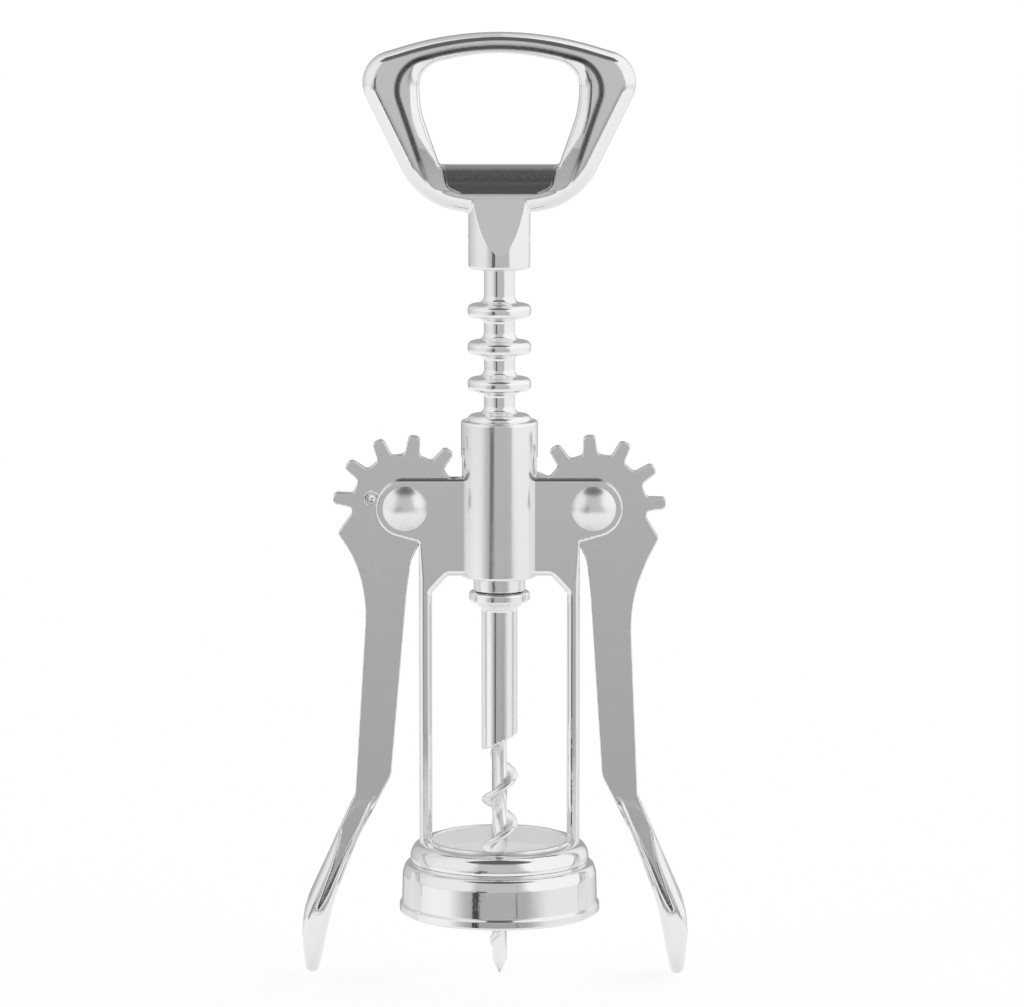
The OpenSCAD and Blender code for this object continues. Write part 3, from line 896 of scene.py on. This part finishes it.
def add_studio():
    """A white tent with a grey opening in front and another behind, for the chrome to mirror."""
    world = bpy.data.worlds.new("studio")
    scene.world = world
    world.use_nodes = True
    graph = Graph(world.node_tree)
    background = graph.nodes["Background"]
    split = graph.nodes.new("ShaderNodeSeparateXYZ")
    direction = graph.nodes.new("ShaderNodeTexCoord").outputs["Generated"]
    graph.feed(split.inputs[0], direction)
    x, y, z = split.outputs
    to_degrees = 180 / math.pi
    turn = graph.math("ARCTAN2", x, graph.math("MULTIPLY", y, -1.0))
    azimuth = graph.math("MULTIPLY", turn, to_degrees)
    elevation = graph.math("MULTIPLY", graph.math("ARCSINE", z), to_degrees)
    # the elevations that upright faces of the bell, the barrel and the handle mirror
    bell, barrel, handle = -9.3, -8.0, -3.6

    def ramp(value, low, high, to_low, to_high):
        return graph.between(value, low, high, to_low, to_high, smooth=False)

    def from_bell_to_barrel(at_bell, at_barrel):
        return ramp(elevation, bell, barrel, at_bell, at_barrel)

    def step_up(value, edge, soft):
        return graph.between(value, graph.math("SUBTRACT", edge, soft),
                             graph.math("ADD", edge, soft))

    def within(value, low, high, soft):
        return graph.math("MULTIPLY", step_up(value, low, soft),
                          graph.math("SUBTRACT", 1.0, step_up(value, high, soft)))

    # the opening in front: darker towards the floor, narrower above the level, dark overhead
    level = ramp(elevation, -15, handle, 0.34, 0.55)
    level = graph.blend(ramp(elevation, 38, 50, 0, 1), level, 0.12)
    above = ramp(elevation, -2, 4, 0, 1)
    overhead = ramp(elevation, 42, 50, 0, 1)
    left_border = graph.blend(above, ramp(elevation, bell, handle, -50, -40), -32.0)
    left_border = graph.blend(overhead, left_border, -60.0)
    left_soft = ramp(elevation, bell, 3, 17, 7)
    right_border = graph.blend(above, from_bell_to_barrel(45, 38), 30.0)
    right_border = graph.blend(overhead, right_border, 60.0)
    right_soft = graph.blend(above, from_bell_to_barrel(18, 4), 8.0)
    front = graph.math("MULTIPLY", step_up(azimuth, left_border, left_soft),
                       graph.math("SUBTRACT", 1.0, step_up(azimuth, right_border, right_soft)))

    # a dark stand on the left, and a thin line low on the right, for the bell
    stand = within(graph.math("SUBTRACT", azimuth, from_bell_to_barrel(-28, -21)),
                   from_bell_to_barrel(-4, -6), from_bell_to_barrel(4, 6), 1.5)
    stand = graph.math("MULTIPLY", stand, within(elevation, -18.0, 3.0, 2.0))
    stand_level = from_bell_to_barrel(0.06, 0.14)
    line = graph.math("MULTIPLY", within(azimuth, 19.0, 21.5, 0.6),
                      within(elevation, -14.5, -8.9, 0.3))
    level = graph.blend(line, level, 0.27)

    # the tent's two sides, and the grey behind the object
    left_side = graph.blend(from_bell_to_barrel(0, 1), ramp(azimuth, -150, -85, 0.74, 0.95),
                            ramp(azimuth, -150, -85, 0.47, 0.76))
    right_side = ramp(azimuth, 130, 165, 0.85, 0.6)
    sides = graph.blend(step_up(azimuth, 0.0, 10.0), left_side, right_side)
    sides = graph.math("ADD", sides, ramp(elevation, -8, handle, 0, 0.12))
    overall = graph.blend(front, sides, level)
    behind = graph.math("MULTIPLY", within(graph.math("ABSOLUTE", azimuth), 158.0, 200.0, 3.0),
                        within(elevation, -14.0, 50.0, 3.0))
    overall = graph.blend(behind, overall, 0.42)
    ground = ramp(elevation, -60, -18, 0.82, 0.94)
    overall = graph.blend(step_up(elevation, -15.5, 2.5), ground, overall)
    overall = graph.blend(stand, overall, stand_level)

    # the camera itself sees plain white
    seen = graph.nodes.new("ShaderNodeLightPath").outputs["Is Camera Ray"]
    graph.feed(background.inputs["Strength"], graph.blend(seen, overall, 1.05))
    background.inputs["Color"].default_value = (1, 1, 1, 1)
    scene.view_settings.view_transform = "Standard"


def add_camera():
    """A long lens, a metre away, eight degrees above the object."""
    rise = math.radians(8)
    distance = 1.0
    target = Vector((2.4, 0, 68.25)) * MM
    camera = bpy.data.objects.new("camera", bpy.data.cameras.new("camera"))
    scene.collection.objects.link(camera)
    camera.data.sensor_width = 36
    camera.data.lens = 185
    camera.data.clip_start = 0.01
    camera.location = target + Vector((0, -distance * math.cos(rise), distance * math.sin(rise)))
    camera.rotation_euler = (math.pi / 2 - rise, 0, 0)
    scene.camera = camera


add_floor()
add_studio()
add_camera()
